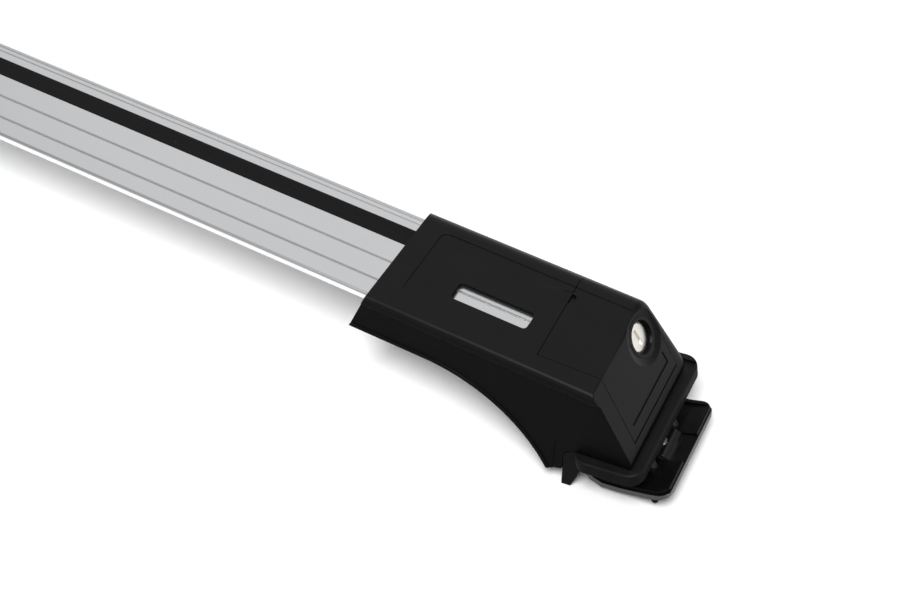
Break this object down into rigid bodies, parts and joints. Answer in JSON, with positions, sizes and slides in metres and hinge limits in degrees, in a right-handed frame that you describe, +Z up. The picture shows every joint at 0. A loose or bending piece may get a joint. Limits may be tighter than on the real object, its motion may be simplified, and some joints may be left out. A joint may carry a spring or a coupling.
{
  "type": "roof crossbar",
  "caption": "Wing-shaped aluminium car roof crossbar with lockable feet that clamp onto raised side rails.",
  "frame": {"origin": "middle of the bar's length, below its foot's middle line, at the level of the hooks' tips", "axes": "+X along the bar towards the foot in the picture, +Y towards the bar's slotted edge, +Z up"},
  "size_m": [1.195, 0.1022, 0.0933],
  "materials": {
    "bar_aluminium": "satin anodised extrusion with fine lengthwise drawing lines",
    "strip_rubber": "matt black extruded rubber",
    "shell_plastic": "black moulded plastic with a fine grain",
    "cover_plastic": "black moulded plastic with a fine grain",
    "plug_plastic": "black moulded plastic",
    "lock_face": "nickel-plated die casting, lightly brushed face",
    "lock_metal": "die-cast zinc, satin",
    "screw_steel": "bright zinc-plated steel",
    "bolt_steel": "black-oxide steel",
    "pin_steel": "black-oxide steel",
    "nut_steel": "zinc-plated steel",
    "carriage_metal": "die-cast aluminium, tumbled",
    "jaw_metal": "black powder coat",
    "boot_rubber": "matt black moulded rubber",
    "pad_rubber": "black moulded rubber with a slight sheen"
  },
  "bodies": {
    "crossbar": {"crossbar": "bar_aluminium", "slot_strip": "strip_rubber", "right_bar_plug": "plug_plastic", "left_bar_plug": "plug_plastic"},
    "right_foot": {"right_housing": "shell_plastic", "right_carriage": "carriage_metal", "right_rail_boot": "boot_rubber", "right_nut_plate": "nut_steel", "right_bar_screws": "screw_steel", "right_housing_screws": "screw_steel", "right_bolt_washer": "screw_steel"},
    "right_cover": {"right_end_cover": "cover_plastic", "right_lock_body": "lock_metal", "right_lock_screws": "screw_steel"},
    "right_lock": {"right_lock_core": "lock_face", "right_lock_tongue": "lock_metal", "right_tongue_screw": "screw_steel"},
    "right_bolt": {"right_clamp_bolt": "bolt_steel"},
    "right_jaw": {"right_clamp_jaw": "jaw_metal", "right_jaw_pad": "pad_rubber", "right_barrel_nut": "nut_steel", "right_guide_pins": "pin_steel"},
    "left_foot": {"left_housing": "shell_plastic", "left_carriage": "carriage_metal", "left_rail_boot": "boot_rubber", "left_nut_plate": "nut_steel", "left_bar_screws": "screw_steel", "left_housing_screws": "screw_steel", "left_bolt_washer": "screw_steel"},
    "left_cover": {"left_end_cover": "cover_plastic", "left_lock_body": "lock_metal", "left_lock_screws": "screw_steel"},
    "left_lock": {"left_lock_core": "lock_face", "left_lock_tongue": "lock_metal", "left_tongue_screw": "screw_steel"},
    "left_bolt": {"left_clamp_bolt": "bolt_steel"},
    "left_jaw": {"left_clamp_jaw": "jaw_metal", "left_jaw_pad": "pad_rubber", "left_barrel_nut": "nut_steel", "left_guide_pins": "pin_steel"}
  },
  "joints": [
    {"name": "right_foot_slide", "type": "slide", "parent": "crossbar", "child": "right_foot", "axis": [1, 0, 0], "range_m": [0, 0.015]},
    {"name": "right_cover_hinge", "type": "hinge", "parent": "right_foot", "child": "right_cover", "pos_m": [0.56729, 0.00117, 0.05181], "axis": [-0.0523, 0.9986, 0], "range_deg": [0, 60]},
    {"name": "right_lock_turn", "type": "hinge", "parent": "right_cover", "child": "right_lock", "pos_m": [0.54448, 0.0215, 0.07773], "axis": [0.8327, 0.0436, 0.5519], "range_deg": [0, 90]},
    {"name": "right_bolt_turn", "type": "hinge", "parent": "right_foot", "child": "right_bolt", "pos_m": [0.53068, -0.00075, 0.08582], "axis": [-0.5512, -0.0289, 0.8339], "range_deg": [0, 3170]},
    {"name": "right_jaw_slide", "type": "slide", "parent": "right_foot", "child": "right_jaw", "axis": [0.5512, 0.0289, -0.8339], "range_m": [0, 0.011]},
    {"name": "left_foot_slide", "type": "slide", "parent": "crossbar", "child": "left_foot", "axis": [-1, 0, 0], "range_m": [0, 0.015]},
    {"name": "left_cover_hinge", "type": "hinge", "parent": "left_foot", "child": "left_cover", "pos_m": [-0.56729, 0.00117, 0.05181], "axis": [-0.0523, -0.9986, 0], "range_deg": [0, 60]},
    {"name": "left_lock_turn", "type": "hinge", "parent": "left_cover", "child": "left_lock", "pos_m": [-0.54448, 0.0215, 0.07773], "axis": [0.8327, -0.0436, -0.5519], "range_deg": [0, 90]},
    {"name": "left_bolt_turn", "type": "hinge", "parent": "left_foot", "child": "left_bolt", "pos_m": [-0.53068, -0.00075, 0.08582], "axis": [0.5512, -0.0289, 0.8339], "range_deg": [0, 3170]},
    {"name": "left_jaw_slide", "type": "slide", "parent": "left_foot", "child": "left_jaw", "axis": [-0.5512, 0.0289, -0.8339], "range_m": [0, 0.011]}
  ],
  "couplings": [
    {"joint": "right_bolt_turn", "follows": "right_jaw_slide", "rad_per_m": 5026.5},
    {"joint": "left_bolt_turn", "follows": "left_jaw_slide", "rad_per_m": 5026.5}
  ]
}
